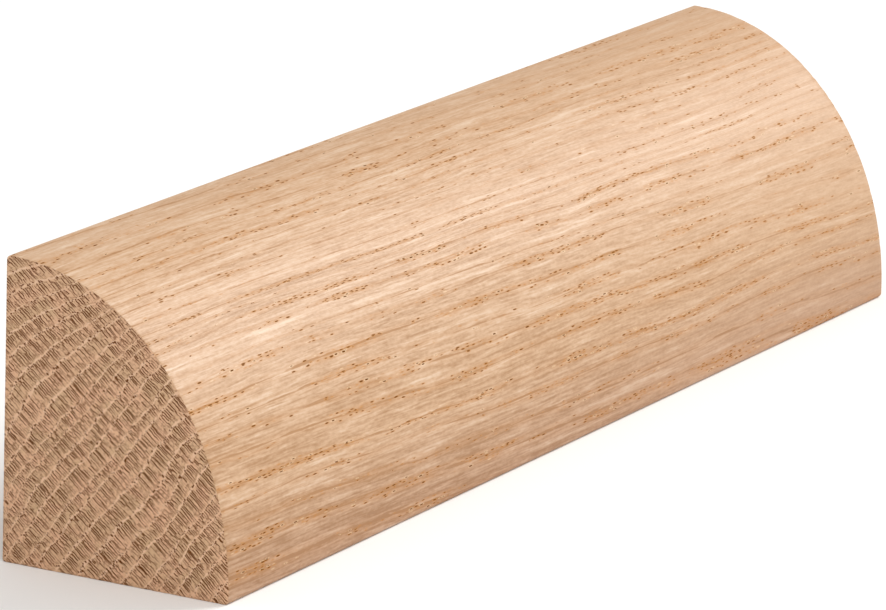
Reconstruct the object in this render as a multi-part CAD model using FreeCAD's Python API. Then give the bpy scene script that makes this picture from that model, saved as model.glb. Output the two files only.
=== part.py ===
import FreeCAD, Part
import os
from math import sqrt

# Quarter round moulding: a short length of solid oak floor trim, sawn square at both ends.
# It lies on its floor face with its wall face upright. X runs along the length, +Y points
# to the wall and +Z up, with the origin at the middle of the floor face.

# Driving dimensions in millimetres
length = 90.0           # from saw cut to saw cut
floor_width = 15.875    # leg of the section that lies on the floor, 5/8 in
wall_height = 19.05     # leg of the section that stands against the wall, 3/4 in
crest_ease = 0.25       # radius of the sanded arris where the round meets the wall face
toe_ease = 0.3          # radius of the sanded arris where the round meets the floor face
heel_ease = 0.2         # radius of the sanded arris where the wall and floor faces meet

near_end = -length / 2
wall_side = floor_width / 2
room_side = -floor_width / 2


def at(y, z):
    return FreeCAD.Vector(near_end, y, z)


def flat(start, end):
    return Part.LineSegment(start, end).toShape()


def quarter(start, corner, end):
    # Exactly a quarter of an ellipse, or of a circle where the two legs are equal:
    # it leaves start and meets end along the lines that cross at the corner
    curve = Part.BezierCurve()
    curve.setPoles([start, corner, end])
    curve.setWeight(2, sqrt(0.5))
    return curve.toShape()


# The section's corners: the heel stands in the corner of the room, the toe is on the floor,
# the crest is on the wall, and the tangents of the round cross in the air at the shoulder
heel = at(wall_side, 0)
toe = at(room_side, 0)
shoulder = at(room_side, wall_height)
crest = at(wall_side, wall_height)

# Where each curve of the section runs into its neighbour
floor_back = at(wall_side - heel_ease, 0)
floor_front = at(room_side + toe_ease, 0)
round_bottom = at(room_side, toe_ease)
round_top = at(wall_side - crest_ease, wall_height)
wall_top = at(wall_side, wall_height - crest_ease)
wall_bottom = at(wall_side, heel_ease)

section = Part.Wire([
    flat(floor_back, floor_front),
    quarter(floor_front, toe, round_bottom),
    quarter(round_bottom, shoulder, round_top),
    quarter(round_top, crest, wall_top),
    flat(wall_top, wall_bottom),
    quarter(wall_bottom, heel, floor_back),
])

quarter_round = Part.Face(section).extrude(FreeCAD.Vector(length, 0, 0))

os.makedirs("parts", exist_ok=True)
quarter_round.exportStep("parts/quarter_round.step")
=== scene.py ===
import bmesh
import bpy
from math import atan2, pi, radians
from mathutils import Matrix, Vector, noise


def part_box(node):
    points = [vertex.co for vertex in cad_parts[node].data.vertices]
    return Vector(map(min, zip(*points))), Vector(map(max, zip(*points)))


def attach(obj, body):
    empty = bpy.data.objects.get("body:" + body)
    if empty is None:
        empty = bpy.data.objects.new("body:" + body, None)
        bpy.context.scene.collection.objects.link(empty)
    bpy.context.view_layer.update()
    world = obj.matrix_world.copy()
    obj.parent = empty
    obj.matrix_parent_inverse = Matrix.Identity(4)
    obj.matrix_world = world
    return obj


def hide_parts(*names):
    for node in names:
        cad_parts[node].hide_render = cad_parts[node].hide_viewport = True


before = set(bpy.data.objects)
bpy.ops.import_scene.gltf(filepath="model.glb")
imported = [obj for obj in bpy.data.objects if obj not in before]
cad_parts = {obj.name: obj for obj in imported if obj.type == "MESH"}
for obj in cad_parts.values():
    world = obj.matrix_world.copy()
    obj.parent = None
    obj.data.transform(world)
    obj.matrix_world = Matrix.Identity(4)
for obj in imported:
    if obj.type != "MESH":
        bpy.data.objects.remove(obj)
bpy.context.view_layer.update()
mm = 0.001
low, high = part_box("quarter_round")
print("frame loaded, the moulding measures", [round(s / mm, 3) for s in high - low], "mm")


def linear(hexColour):
    # sRGB hex to the linear colour that the shader sockets take
    parts = [int(hexColour[i:i + 2], 16) / 255 for i in (1, 3, 5)]
    return [p / 12.92 if p <= 0.04045 else ((p + 0.055) / 1.055) ** 2.4 for p in parts] + [1.0]


def addNode(tree, kind, inputs, **settings):
    # one node with its settings; an input is a node or socket to link, or a plain value
    node = tree.nodes.new("ShaderNode" + kind)
    for name, value in settings.items():
        setattr(node, name, value)
    for name, value in inputs.items():
        if isinstance(value, bpy.types.Node):
            value = next(o for o in value.outputs if o.enabled)
        if isinstance(value, bpy.types.NodeSocket):
            tree.links.new(value, node.inputs[name])
        else:
            node.inputs[name].default_value = value
    return node


# the moulding: one length of oak, moulded, sanded and sawn square at both ends
moulding = dict(
    crestEase=0.25 * mm,        # sanded arris between the round and the wall face
    toeEase=0.3 * mm,           # sanded arris between the round and the floor face
    heelEase=0.2 * mm,          # sanded arris between the wall and floor faces
    sawnEase=0.06 * mm,         # what the saw leaves of the edges round both ends
    nickDepth=0.05 * mm,        # nicks in those edges, where the saw tore the fibres
    nickSize=0.45,              # mm, breadth of a nick
    waveDepth=0.012 * mm,       # slow waves that hand sanding leaves
    waveSize=(14, 5, 5),        # mm of those waves along the length, and both ways across it
    roundSteps=96,
    easeSteps=6,
    gridStep=0.26 * mm,         # mesh lines across the section
    lengthCuts=170,             # mesh lines along the length
    sharpAngle=50,              # degrees from which an edge is shaded sharp
    mapRows=dict(
        # start and height of each row of the map that the finish is baked on
        floor=(0.01, 0.11),
        wall=(0.13, 0.18),
        round=(0.34, 0.37),
        ends=(0.74, 0.25),
    ),
)


def quarterArc(bm, y, z, legY, legZ, start, steps):
    # a quarter turn about X from the way that start points, stretched to its two legs
    first = bm.verts.new(start)
    bmesh.ops.spin(bm, geom=[first], axis=(1, 0, 0), angle=-pi / 2, steps=steps)
    arc = [v for v in bm.verts if not v.tag]
    bmesh.ops.scale(bm, vec=(1, legY, legZ), verts=arc)
    bmesh.ops.translate(bm, vec=(low.x, y, z), verts=arc)
    for v in arc:
        v.tag = True
    return arc[0], arc[-1]


def wear(bm, spec):
    # slow waves from sanding, and nicks where the saw tore the fibres; all of it goes inwards
    bm.normal_update()
    for v in bm.verts:
        place = v.co / mm
        wave = noise.noise([p / s for p, s in zip(place, spec["waveSize"])])
        depth = spec["waveDepth"] * (0.5 + 0.5 * wave)
        toEnd = min(v.co.x - low.x, high.x - v.co.x)
        slanted = v.normal.xy.length + abs(v.normal.z) > 1.05    # on a rim of the round or the floor face
        if toEnd < 2 * spec["sawnEase"] and slanted:
            depth += spec["nickDepth"] * max(0, noise.noise(place / spec["nickSize"] + Vector((31, 7, 3))))
        v.co -= v.normal * depth


def layFlat(bm, spec):
    # the map for baking: floor, wall and round lie lengthwise in rows, and both ends share the top row
    layer = bm.loops.layers.uv.new("OFBake")
    size = high - low
    for face in bm.faces:
        for loop in face.loops:
            part = loop.vert.co - low
            u = 0.01 + 0.98 * part.x / size.x
            if abs(face.normal.x) > 0.5:
                u = (0.01 if face.normal.x < 0 else 0.51) + 0.48 * part.z / size.z
                row, share = "ends", part.y / size.y
            elif face.normal.z < -0.7:
                row, share = "floor", part.y / size.y
            elif face.normal.y > 0.7:
                row, share = "wall", part.z / size.z
            else:
                outwards = (size.y - spec["crestEase"] - part.y) / (size.y - spec["crestEase"])
                upwards = (part.z - spec["toeEase"]) / (size.z - spec["toeEase"])
                row, share = "round", atan2(outwards, upwards) / (pi / 2)
            start, height = spec["mapRows"][row]
            loop[layer].uv = (u, start + height * share)


def buildMoulding(spec):
    bm = bmesh.new()
    wall, room, top = high.y, low.y, high.z
    crest, toe, heel = spec["crestEase"], spec["toeEase"], spec["heelEase"]
    fine, steps = spec["easeSteps"], spec["roundSteps"]
    # the section's four curves in turn: toe, round, crest and heel
    toeArc = quarterArc(bm, room + toe, toe, toe, toe, (0, 0, -1), fine)
    quarterArc(bm, wall - crest, toe, wall - crest - room, top - toe, (0, -1, 0), steps)
    crestArc = quarterArc(bm, wall - crest, top - crest, crest, crest, (0, 0, 1), fine)
    heelArc = quarterArc(bm, wall - heel, heel, heel, heel, (0, 1, 0), fine)
    bm.edges.new((crestArc[1], heelArc[0]))    # wall face
    bm.edges.new((heelArc[1], toeArc[0]))      # floor face
    bmesh.ops.remove_doubles(bm, verts=bm.verts[:], dist=0.001 * mm)
    section = bmesh.ops.contextual_create(bm, geom=bm.edges[:])["faces"]
    pulled = bmesh.ops.extrude_face_region(bm, geom=section, use_keep_orig=True)["geom"]
    farEnd = [g for g in pulled if isinstance(g, bmesh.types.BMVert)]
    bmesh.ops.translate(bm, vec=(high.x - low.x, 0, 0), verts=farEnd)
    bmesh.ops.recalc_face_normals(bm, faces=bm.faces[:])
    rims = [e for e in bm.edges if abs(e.verts[0].co.x - e.verts[1].co.x) < 0.01 * mm]
    bmesh.ops.bevel(bm, geom=rims, offset=spec["sawnEase"], offset_type="OFFSET", affect="EDGES",
                    segments=2, profile=0.5, material=-1, clamp_overlap=False)
    # mesh lines across the section, through both ends and along the faces between them
    for axis in (1, 2):
        cuts = round((high[axis] - low[axis]) / spec["gridStep"])
        for i in range(1, cuts):
            place = low.copy()
            place[axis] += (high[axis] - low[axis]) * i / cuts
            way = Vector((0, axis == 1, axis == 2))
            bmesh.ops.bisect_plane(bm, geom=bm.verts[:] + bm.edges[:] + bm.faces[:],
                                   dist=0.002 * mm, plane_co=place, plane_no=way)
    longEdges = [e for e in bm.edges if e.calc_length() > 0.9 * (high.x - low.x)]
    bmesh.ops.subdivide_edges(bm, edges=longEdges, cuts=spec["lengthCuts"], use_grid_fill=True)
    layFlat(bm, spec)
    wear(bm, spec)
    mesh = bpy.data.meshes.new("moulding")
    bm.to_mesh(mesh)
    bm.free()
    mesh.polygons.foreach_set("use_smooth", [True] * len(mesh.polygons))
    mesh.set_sharp_from_angle(angle=radians(spec["sharpAngle"]))
    piece = bpy.data.objects.new("moulding", mesh)
    bpy.context.scene.collection.objects.link(piece)
    return piece


# white oak, planed and sanded, left bare: a pale honey face with rows of open pores along the
# growth rings, and a browner end that shows the rings as light lines with dark strokes between
oak = dict(
    ringLean=52,                # degrees that the rings lean in the section
    ringWidth=1.05,             # mm of one year's growth
    ringBend=0.0045,            # how much the rings turn over near the crest, per mm
    bendPlace=-10.0,            # mm along the rings from the heel, middle of that bend
    grainSlope=0.022,           # mm that the grain runs out across the rings in a mm of length
    ringWaves=(
        # mm along the grain, mm across it, mm of swing
        (45, 9, 2.0),           # slow wander
        (14, 1.6, 0.45),        # ripple
        (3, 0.28, 0.15),        # frayed edges
    ),
    streaks=(
        # mm along the grain, mm across it, detail
        (0.4, 0.16, 2.5),       # mottle
        (1.8, 0.12, 1.0),       # fine fibres
        (8, 0.5, 2.0),          # cream flecks
        (120, 0.2, 3.0),        # middling streaks
        (80, 2.6, 1.0),         # broad bands
        (6, 1.6, 2.0),          # patches
    ),
    poreLength=0.7,             # mm, cell of an open pore along the grain
    poreWidth=0.125,            # mm, cell of an open pore across it
    poreSpread=0.7,             # how far pores stray from even rows, in cells
    strokeGap=0.155,            # mm between the dark radial strokes of the end grain
    strokeSpread=0.62,          # how far strokes stray from an even row, in gaps
    raySize=(6, 2.4, 0.8),      # mm, length and depth of a broad ray, and the gap to the next
    faceColours=("#9F7244", "#C29B76", "#D6BA9D"),    # dark, middle and light fibres
    paintedFloorReflection="#D0BAA4",        # painted reflection of the pale floor: a greyer colour low on the round
    toeTint="#EBE5E6",          # rosy cast at the toe
    stainColour="#B98556",      # spring growth about the pores
    rimAndGlintColours=("#BA7C32", "#E3C49C"),                # brown rims of pores, and a pale painted glint of light on the rims of some pores
    poreColour="#693D12",
    endColours=("#633300", "#D6AA88", "#E0BA9B"),     # strokes, ground and ring lines of the end
    endOlive="#CAA581",         # where the end's ground is greener
    roughness=0.5,
    reliefDepth=0.05,           # mm, open pores and strokes
)


def oakMaterial(spec):
    material = bpy.data.materials.new("bare sanded white oak")
    material.use_nodes = True
    tree = material.node_tree
    shader = tree.nodes["Principled BSDF"]
    soft = dict(interpolation_type="SMOOTHSTEP")
    inColour = dict(data_type="RGBA")
    # millimetres from the heel, turned so that y runs across the rings and z along them
    lean = Matrix.Rotation(radians(90 + spec["ringLean"]), 3, "X")
    heel = lean @ Vector((0, high.y, low.z)) / mm
    place = addNode(tree, "TexCoord", {})
    turned = addNode(tree, "Mapping", {
        "Vector": place.outputs["Object"], "Scale": (1 / mm, 1 / mm, 1 / mm),
        "Rotation": lean.to_euler(), "Location": -heel})
    axes = addNode(tree, "SeparateXYZ", {"Vector": turned})
    along, across, around = axes.outputs

    # the rings turn over towards the crest, and wander along the length
    fromMiddle = addNode(tree, "Math", {0: around, 1: spec["bendPlace"]}, operation="SUBTRACT")
    squared = addNode(tree, "Math", {0: fromMiddle, 1: fromMiddle}, operation="MULTIPLY")
    aboveMiddle = addNode(tree, "Math", {0: across, 1: 0.0}, operation="MINIMUM")
    bend = addNode(tree, "Math", {0: squared, 1: aboveMiddle}, operation="MULTIPLY")
    bent = addNode(tree, "Math", {0: bend, 1: spec["ringBend"], 2: across}, operation="MULTIPLY_ADD")
    radial = addNode(tree, "Math", {0: along, 1: -spec["grainSlope"], 2: bent}, operation="MULTIPLY_ADD")
    waves = []
    for length, width, swing in spec["ringWaves"]:
        stretched = addNode(tree, "VectorMath", {0: turned, 1: (1 / length, 1 / width, 1 / width)},
                            operation="MULTIPLY")
        waves.append(addNode(tree, "TexNoise", {"Vector": stretched, "Scale": 1.0, "Detail": 2.0}))
        radial = addNode(tree, "Math", {0: waves[-1], 1: swing, 2: radial}, operation="MULTIPLY_ADD")
    ripple, frayed = waves[1:]

    # ring number, with wide and narrow years; spring growth is where one ring meets the next
    # (a MapRange takes the ends of the old range as 1 and 2, and of the new one as 3 and 4)
    years = addNode(tree, "Math", {0: radial, 1: 0.35}, operation="MULTIPLY")
    weather = addNode(tree, "TexNoise", {"W": years, "Scale": 1.0, "Detail": 1.0}, noise_dimensions="1D")
    evenRing = addNode(tree, "Math", {0: radial, 1: 1 / spec["ringWidth"]}, operation="MULTIPLY")
    ring = addNode(tree, "Math", {0: weather, 1: 1.4, 2: evenRing}, operation="MULTIPLY_ADD")
    season = addNode(tree, "Math", {0: ring}, operation="FRACT")
    fromJune = addNode(tree, "Math", {0: season, 1: 2.0, 2: -1.0}, operation="MULTIPLY_ADD")
    evenSpring = addNode(tree, "Math", {0: fromJune}, operation="ABSOLUTE")
    toSpring = addNode(tree, "Math", {0: frayed, 1: 0.4, 2: evenSpring}, operation="MULTIPLY_ADD")
    thinLine = addNode(tree, "MapRange", {"Value": toSpring, 1: 1.05, 2: 1.13}, **soft)
    lineShare = addNode(tree, "MapRange", {"Value": ripple, 1: 0.38, 2: 0.58, 3: 0.3, 4: 0.8})
    springLine = addNode(tree, "Math", {0: thinLine, 1: lineShare}, operation="MULTIPLY")

    # fibres: mottle, streaks and patches that follow the grain
    grain = addNode(tree, "CombineXYZ", {0: along, 1: radial, 2: around})
    streaks = []
    for length, width, detail in spec["streaks"]:
        stretched = addNode(tree, "VectorMath", {0: grain, 1: (1 / length, 1 / width, 1 / width)},
                            operation="MULTIPLY")
        streaks.append(addNode(tree, "TexNoise", {"Vector": stretched, "Scale": 1.0, "Detail": detail}))
    mottle, fine, cream, middling, broad, patchy = streaks

    # dark radial strokes between the ring lines, like the teeth of a comb, broken here and there
    evenTooth = addNode(tree, "Math", {0: around, 1: 1 / spec["strokeGap"]}, operation="MULTIPLY")
    wavyTooth = addNode(tree, "Math", {0: ripple, 1: 1.6, 2: evenTooth}, operation="MULTIPLY_ADD")
    tooth = addNode(tree, "Math", {0: frayed, 1: 0.8, 2: wavyTooth}, operation="MULTIPLY_ADD")
    rows = addNode(tree, "Math", {0: ring, 1: 1.7}, operation="MULTIPLY")
    brokenRows = addNode(tree, "Math", {0: ripple, 1: 3.0, 2: rows}, operation="MULTIPLY_ADD")
    row = addNode(tree, "Math", {0: brokenRows}, operation="FLOOR")
    rowMiddle = addNode(tree, "Math", {0: row, 1: 0.5 * spec["strokeSpread"]}, operation="ADD")
    toothPlace = addNode(tree, "CombineXYZ", {0: tooth, 1: rowMiddle})
    toothCell = addNode(tree, "TexVoronoi", {"Vector": toothPlace, "Scale": 1.0,
                                             "Randomness": spec["strokeSpread"]}, voronoi_dimensions="2D")
    dice = addNode(tree, "SeparateColor", {"Color": toothCell.outputs["Color"]})
    toothEdge = addNode(tree, "MapRange", {"Value": toothCell, 1: 0.38, 2: 0.12}, **soft)
    late = addNode(tree, "Math", {0: dice.outputs["Red"], 1: -0.12, 2: season}, operation="MULTIPLY_ADD")
    begun = addNode(tree, "MapRange", {"Value": late, 1: -0.07, 2: 0.05}, **soft)
    early = addNode(tree, "Math", {0: dice.outputs["Green"], 1: 0.35, 2: season}, operation="MULTIPLY_ADD")
    ended = addNode(tree, "MapRange", {"Value": early, 1: 1.5, 2: 0.5}, **soft)
    force = addNode(tree, "MapRange", {"Value": dice.outputs["Green"], 3: 0.55, 4: 1.25})
    patch = addNode(tree, "MapRange", {"Value": ripple, 1: 0.35, 2: 0.65, 3: 0.85, 4: 1.1})
    torn = addNode(tree, "MapRange", {"Value": mottle, 1: 0.38, 2: 0.62, 3: 0.3, 4: 1.4})
    strokes = toothEdge
    for share in (begun, ended, force, patch, torn):
        strokes = addNode(tree, "Math", {0: strokes, 1: share}, operation="MULTIPLY")

    # open pores, long cells that lie in each ring's spring growth
    poreStep = spec["ringWidth"] / spec["poreWidth"]
    poreAlong = addNode(tree, "Math", {0: along, 1: 1 / spec["poreLength"]}, operation="MULTIPLY")
    poreAcross = addNode(tree, "Math", {0: ring, 1: poreStep}, operation="MULTIPLY")
    poreAround = addNode(tree, "Math", {0: around, 1: 1 / spec["poreWidth"]}, operation="MULTIPLY")
    porePlace = addNode(tree, "CombineXYZ", {0: poreAlong, 1: poreAcross, 2: poreAround})
    cell = addNode(tree, "TexVoronoi", {"Vector": porePlace, "Scale": 1.0, "Randomness": spec["poreSpread"]})
    middle = addNode(tree, "SeparateXYZ", {"Vector": cell.outputs["Position"]})
    poreRing = addNode(tree, "Math", {0: middle.outputs["Y"], 1: 1 / poreStep}, operation="MULTIPLY")
    poreSeason = addNode(tree, "Math", {0: poreRing}, operation="FRACT")
    poreJune = addNode(tree, "Math", {0: poreSeason, 1: 2.0, 2: -1.0}, operation="MULTIPLY_ADD")
    poreSpring = addNode(tree, "Math", {0: poreJune}, operation="ABSOLUTE")
    inSpring = addNode(tree, "Math", {0: poreSpring, 1: 0.6}, operation="GREATER_THAN")
    chance = addNode(tree, "SeparateColor", {"Color": cell.outputs["Color"]})
    # they crowd together in clusters of 11 by 7 cells, more in some years, and fewer near the crest
    cluster = addNode(tree, "VectorMath", {0: porePlace, 1: (1 / 11, 1 / poreStep, 1 / 7)},
                      operation="MULTIPLY")
    clusterNoise = addNode(tree, "TexNoise", {"Vector": cluster, "Scale": 1.0, "Detail": 1.0})
    crowding = addNode(tree, "MapRange", {"Value": clusterNoise, 1: 0.42, 2: 0.58, 3: 0.03, 4: 1.0})
    halfYear = addNode(tree, "Math", {0: ring, 1: 0.5}, operation="ADD")
    wholeYear = addNode(tree, "Math", {0: halfYear}, operation="FLOOR")
    goodYear = addNode(tree, "TexWhiteNoise", {"W": wholeYear}, noise_dimensions="1D")
    yearShare = addNode(tree, "MapRange", {"Value": goodYear, 1: 0.2, 2: 0.6, 3: 0.4, 4: 1.0})
    upright = addNode(tree, "MapRange", {"Value": across, 1: -11.0, 2: -7.0, 3: 0.45, 4: 1.0})
    for share in (yearShare, upright):
        crowding = addNode(tree, "Math", {0: crowding, 1: share}, operation="MULTIPLY")
    chosen = addNode(tree, "Math", {0: chance.outputs["Red"], 1: crowding}, operation="LESS_THAN")
    present = addNode(tree, "Math", {0: inSpring, 1: chosen}, operation="MULTIPLY")
    poreRadius = addNode(tree, "MapRange", {"Value": chance.outputs["Green"], 3: 0.16, 4: 0.34})
    fromPore = addNode(tree, "Math", {0: poreRadius, 1: cell.outputs["Distance"]}, operation="SUBTRACT")
    poreEdge = addNode(tree, "MapRange", {"Value": fromPore, 1: -0.06, 2: 0.08}, **soft)
    pores = addNode(tree, "Math", {0: poreEdge, 1: present}, operation="MULTIPLY")
    haloEdge = addNode(tree, "MapRange", {"Value": fromPore, 1: -0.3, 2: -0.05}, **soft)
    halo = addNode(tree, "Math", {0: haloEdge, 1: present}, operation="MULTIPLY")
    stainBand = addNode(tree, "MapRange", {"Value": evenSpring, 1: 0.35, 2: 0.8}, **soft)
    stainFill = addNode(tree, "Math", {0: crowding, 1: 0.7, 2: 0.3}, operation="MULTIPLY_ADD")
    stain = addNode(tree, "Math", {0: stainBand, 1: stainFill}, operation="MULTIPLY")

    # broad rays, thin radial sheets that show as dark lines on the end
    rayLength, rayDepth, rayGap = spec["raySize"]
    rayAlong = addNode(tree, "Math", {0: along, 1: 1 / rayLength}, operation="MULTIPLY")
    rayAcross = addNode(tree, "Math", {0: radial, 1: 1 / rayDepth}, operation="MULTIPLY")
    rayAround = addNode(tree, "Math", {0: around, 1: 1 / rayGap}, operation="MULTIPLY")
    rayPlace = addNode(tree, "CombineXYZ", {0: rayAlong, 1: rayAcross, 2: rayAround})
    rayCell = addNode(tree, "TexVoronoi", {"Vector": rayPlace, "Scale": 1.0})
    rayMiddle = addNode(tree, "SeparateXYZ", {"Vector": rayCell.outputs["Position"]})
    rayOff = addNode(tree, "Math", {0: rayMiddle.outputs["Z"], 1: rayAround}, operation="SUBTRACT")
    rayAway = addNode(tree, "Math", {0: rayOff}, operation="ABSOLUTE")
    rayEdge = addNode(tree, "MapRange", {"Value": rayAway, 1: 0.07, 2: 0.03}, **soft)
    rayChance = addNode(tree, "SeparateColor", {"Color": rayCell.outputs["Color"]})
    rayChosen = addNode(tree, "Math", {0: rayChance.outputs["Red"], 1: 0.1}, operation="LESS_THAN")
    rays = addNode(tree, "Math", {0: rayEdge, 1: rayChosen}, operation="MULTIPLY")

    # tone of the face: long streaks that are livelier low down and towards the near end, then the
    # finer fibres, all of it calmer near the crest and the far end
    hairline = addNode(tree, "MapRange", {"Value": toSpring, 1: 1.08, 2: 1.18}, **soft)
    broken = addNode(tree, "MapRange", {"Value": middling, 1: 0.42, 2: 0.56}, **soft)
    hairlines = addNode(tree, "Math", {0: hairline, 1: broken}, operation="MULTIPLY")
    fleck = addNode(tree, "MapRange", {"Value": cream, 1: 0.58, 2: 0.7}, **soft)
    lowDown = addNode(tree, "MapRange", {"Value": across, 1: 1.0, 2: 9.0, 3: 1.0, 4: 1.75})
    nearby = addNode(tree, "MapRange", {"Value": along, 1: -10.0, 2: 40.0, 3: 1.0, 4: 0.6})
    lively = addNode(tree, "Math", {0: lowDown, 1: nearby}, operation="MULTIPLY")
    tone = addNode(tree, "Math", {0: lively, 1: -0.44}, operation="MULTIPLY")
    for streak, share in ((middling, 0.54), (broad, 0.34), (hairlines, -0.45)):
        stronger = addNode(tree, "Math", {0: streak, 1: lively}, operation="MULTIPLY")
        tone = addNode(tree, "Math", {0: stronger, 1: share, 2: tone}, operation="MULTIPLY_ADD")
    tone = addNode(tree, "Math", {0: across, 1: -0.009, 2: tone}, operation="MULTIPLY_ADD")
    for streak, share in ((mottle, 0.5), (fine, 0.85), (cream, 0.3), (fleck, 0.2), (patchy, 0.22)):
        tone = addNode(tree, "Math", {0: streak, 1: share, 2: tone}, operation="MULTIPLY_ADD")
    calm = addNode(tree, "MapRange", {"Value": across, 1: -10.0, 2: -3.0, 3: 0.8, 4: 1.0})
    fade = addNode(tree, "MapRange", {"Value": along, 1: -5.0, 2: 40.0, 3: 1.0, 4: 0.55})
    contrast = addNode(tree, "Math", {0: calm, 1: fade}, operation="MULTIPLY")
    centred = addNode(tree, "Math", {0: tone, 1: 0.97}, operation="SUBTRACT")
    tone = addNode(tree, "Math", {0: centred, 1: contrast, 2: 0.48}, operation="MULTIPLY_ADD")

    # the face
    dark, mid, light = [linear(c) for c in spec["faceColours"]]
    face = addNode(tree, "ValToRGB", {"Fac": tone})
    face.color_ramp.elements[0].position = 0.05
    face.color_ramp.elements[0].color = dark
    face.color_ramp.elements[1].position = 0.95
    face.color_ramp.elements[1].color = light
    face.color_ramp.elements.new(0.5).color = mid
    # painted reflection of the pale floor: the face is mixed towards a greyer colour low on the round
    reflectionShare = addNode(tree, "MapRange", {"Value": across, 1: -1.0, 2: 5.0, 3: 0.0, 4: 0.12})
    floorReflected = addNode(tree, "Mix", {"Factor": reflectionShare, "A": face, "B": linear(spec["paintedFloorReflection"])}, **inColour)
    toeShare = addNode(tree, "MapRange", {"Value": across, 1: 8.0, 2: 12.5})
    rosy = addNode(tree, "Mix", {"Factor": toeShare, "A": floorReflected, "B": linear(spec["toeTint"])},
                   blend_type="MULTIPLY", **inColour)
    stainShare = addNode(tree, "Math", {0: stain, 1: 0.35}, operation="MULTIPLY")
    stained = addNode(tree, "Mix", {"Factor": stainShare, "A": rosy, "B": linear(spec["stainColour"])},
                      **inColour)
    haloShare = addNode(tree, "Math", {0: halo, 1: 0.5}, operation="MULTIPLY")
    brownRim, paintedGlint = [linear(c) for c in spec["rimAndGlintColours"]]
    # painted glint: some pores get a pale rim, as if their edge caught the light, in place of the brown rim
    isGlint = addNode(tree, "Math", {0: chance.outputs["Blue"], 1: 0.85}, operation="GREATER_THAN")
    rimAndGlint = addNode(tree, "Mix", {"Factor": isGlint, "A": brownRim, "B": paintedGlint}, **inColour)
    haloed = addNode(tree, "Mix", {"Factor": haloShare, "A": stained, "B": rimAndGlint}, **inColour)
    poreDepth = addNode(tree, "MapRange", {"Value": chance.outputs["Blue"], 3: 0.6, 4: 1.0})
    poreFade = addNode(tree, "Math", {0: poreDepth, 1: fade}, operation="MULTIPLY")
    poreShare = addNode(tree, "Math", {0: pores, 1: poreFade}, operation="MULTIPLY")
    pored = addNode(tree, "Mix", {"Factor": poreShare, "A": haloed, "B": linear(spec["poreColour"])},
                    **inColour)

    # the sawn end: ring lines, strokes kept off them, rays, and holes where pores lie in a line
    endDark, endMid, endLight = [linear(c) for c in spec["endColours"]]
    tint = addNode(tree, "MapRange", {"Value": ripple, 1: 0.38, 2: 0.62})
    ground = addNode(tree, "Mix", {"Factor": tint, "A": endMid, "B": linear(spec["endOlive"])}, **inColour)
    lined = addNode(tree, "Mix", {"Factor": springLine, "A": ground, "B": endLight}, **inColour)
    speckle = addNode(tree, "Math", {0: mottle, 1: -3.0, 2: 1.5}, operation="MULTIPLY_ADD")
    endShade = addNode(tree, "Math", {0: strokes, 1: 1.6, 2: speckle}, operation="MULTIPLY_ADD")
    cleared = addNode(tree, "Math", {0: springLine, 1: -0.6, 2: endShade}, operation="MULTIPLY_ADD")
    stroked = addNode(tree, "Mix", {"Factor": cleared, "A": lined, "B": endDark}, **inColour)
    rayShare = addNode(tree, "Math", {0: rays, 1: 0.65}, operation="MULTIPLY")
    rayed = addNode(tree, "Mix", {"Factor": rayShare, "A": stroked, "B": endDark}, **inColour)
    openPore = addNode(tree, "Math", {0: chance.outputs["Blue"], 1: 0.66}, operation="GREATER_THAN")
    inLine = addNode(tree, "Math", {0: poreSpring, 1: 0.8}, operation="GREATER_THAN")
    holeHere = addNode(tree, "Math", {0: openPore, 1: inLine}, operation="MULTIPLY")
    rimEdge = addNode(tree, "MapRange", {"Value": fromPore, 1: -0.85, 2: -0.45}, **soft)
    holeRims = addNode(tree, "Math", {0: rimEdge, 1: holeHere}, operation="MULTIPLY")
    rimmed = addNode(tree, "Mix", {"Factor": holeRims, "A": rayed, "B": endLight}, **inColour)
    holeEdge = addNode(tree, "MapRange", {"Value": fromPore, 1: -0.44, 2: -0.16}, **soft)
    holes = addNode(tree, "Math", {0: holeEdge, 1: holeHere}, operation="MULTIPLY")
    holed = addNode(tree, "Mix", {"Factor": holes, "A": rimmed, "B": endDark}, **inColour)

    # a face that looks along the grain is an end
    surface = addNode(tree, "NewGeometry", {})
    facing = addNode(tree, "SeparateXYZ", {"Vector": surface.outputs["Normal"]})
    endways = addNode(tree, "Math", {0: facing.outputs["X"]}, operation="ABSOLUTE")
    isEnd = addNode(tree, "MapRange", {"Value": endways, 1: 0.5, 2: 0.8}, **soft)
    colour = addNode(tree, "Mix", {"Factor": isEnd, "A": pored, "B": holed}, **inColour)
    tree.links.new(next(o for o in colour.outputs if o.enabled), shader.inputs["Base Color"])

    # relief: pores and strokes lie open, fibres stand up a little
    shallow = addNode(tree, "Math", {0: strokes, 1: isEnd}, operation="MULTIPLY")
    hollow = addNode(tree, "Math", {0: shallow, 1: 0.7, 2: pores}, operation="MULTIPLY_ADD")
    relief = addNode(tree, "Math", {0: fine, 1: 0.3}, operation="MULTIPLY")
    height = addNode(tree, "Math", {0: relief, 1: hollow}, operation="SUBTRACT")
    bump = addNode(tree, "Bump", {"Height": height, "Strength": 0.6, "Distance": spec["reliefDepth"] * mm})
    tree.links.new(bump.outputs["Normal"], shader.inputs["Normal"])
    rough = addNode(tree, "MapRange", {"Value": fine, 1: 0.3, 2: 0.7, 3: spec["roughness"] - 0.06,
                                       4: spec["roughness"] + 0.06})
    dull = addNode(tree, "Math", {0: pores, 1: 0.4, 2: rough}, operation="MULTIPLY_ADD")
    tree.links.new(dull.outputs["Value"], shader.inputs["Roughness"])
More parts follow.
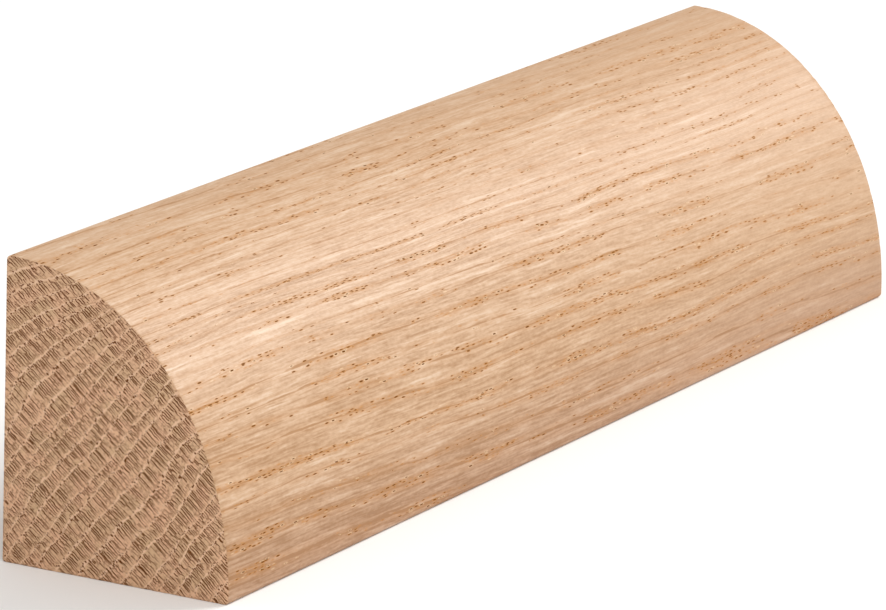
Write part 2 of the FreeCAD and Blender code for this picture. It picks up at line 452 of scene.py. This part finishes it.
    # dense fibres shine, spring growth and the sawn end less, open pores hardly at all
    dense = addNode(tree, "MapRange", {"Value": tone, 1: 0.15, 2: 0.7, 3: 0.32, 4: 0.64})
    spongy = addNode(tree, "Math", {0: stain, 1: -0.2, 2: dense}, operation="MULTIPLY_ADD")
    shut = addNode(tree, "MapRange", {"Value": pores, 3: 1.0, 4: 0.1})
    closed = addNode(tree, "Math", {0: spongy, 1: shut}, operation="MULTIPLY")
    sawn = addNode(tree, "MapRange", {"Value": isEnd, 3: 1.0, 4: 0.4})
    shine = addNode(tree, "Math", {0: closed, 1: sawn}, operation="MULTIPLY")
    # what the exported model keeps
    shader.inputs["Specular IOR Level"].default_value = 0.45    # the socket's own level, which stands wherever the link below is not followed
    tree.links.new(shine.outputs["Value"], shader.inputs["Specular IOR Level"])
    return material


bareOak = oakMaterial(oak)
print("materials made")

piece = buildMoulding(moulding)
piece.data.materials.append(bareOak)
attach(piece, "root")
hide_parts("quarter_round")
triangles = sum(len(p.vertices) - 2 for p in piece.data.polygons)
print("moulding built:", triangles, "triangles")

# the studio: a pale floor, a large soft light over the round, one behind the far end that
# gives the round its sheen, and light from all round
studio = dict(
    floorSize=6.0,
    floorColour="#F4F3F1",
    floorRoughness=0.9,
    skyStrength=0.62,
    aim=(0, 0, 0.01),
    lights=(
        # name, watts, size, place
        ("key", 5.5, 0.8, (-0.65, -0.6, 0.85)),
        ("sheen", 42.0, 1.2, (1.75, -0.9, 1.52)),
    ),
)
bpy.ops.mesh.primitive_plane_add(size=studio["floorSize"], location=(0, 0, 0))
floor = bpy.context.object
floor.name = "floor"
# card with a matt coating: a pale ground that shows soft shadows and no gloss
card = bpy.data.materials.new("matt white card")
card.use_nodes = True
cardShader = card.node_tree.nodes["Principled BSDF"]
cardShader.inputs["Base Color"].default_value = linear(studio["floorColour"])
cardShader.inputs["Roughness"].default_value = studio["floorRoughness"]
floor.data.materials.append(card)

sky = bpy.data.worlds.new("studio")
sky.use_nodes = True
sky.node_tree.nodes["Background"].inputs["Color"].default_value = (1, 1, 1, 1)
sky.node_tree.nodes["Background"].inputs["Strength"].default_value = studio["skyStrength"]
bpy.context.scene.world = sky

for name, watts, size, place in studio["lights"]:
    lamp = bpy.data.lights.new(name, "AREA")
    lamp.energy = watts
    lamp.size = size
    lampObject = bpy.data.objects.new(name, lamp)
    lampObject.location = place
    beam = Vector(studio["aim"]) - lampObject.location
    lampObject.rotation_euler = beam.to_track_quat("-Z", "Y").to_euler()
    bpy.context.scene.collection.objects.link(lampObject)

# the photograph's view, from the near end and the room side, in millimetres and degrees
view = dict(place=(-366.674, -197.232, 115.098), turn=(75.5167, -1.7696, -60.9291), lens=267.95, sensor=36)
camera = bpy.data.cameras.new("camera")
camera.sensor_width = view["sensor"]
camera.lens = view["lens"]
camera.clip_start = 0.01
cameraObject = bpy.data.objects.new("camera", camera)
cameraObject.location = [p * mm for p in view["place"]]
cameraObject.rotation_euler = [radians(a) for a in view["turn"]]
bpy.context.scene.collection.objects.link(cameraObject)
bpy.context.scene.camera = cameraObject
bpy.context.scene.view_settings.view_transform = "Standard"
print("studio and camera set")
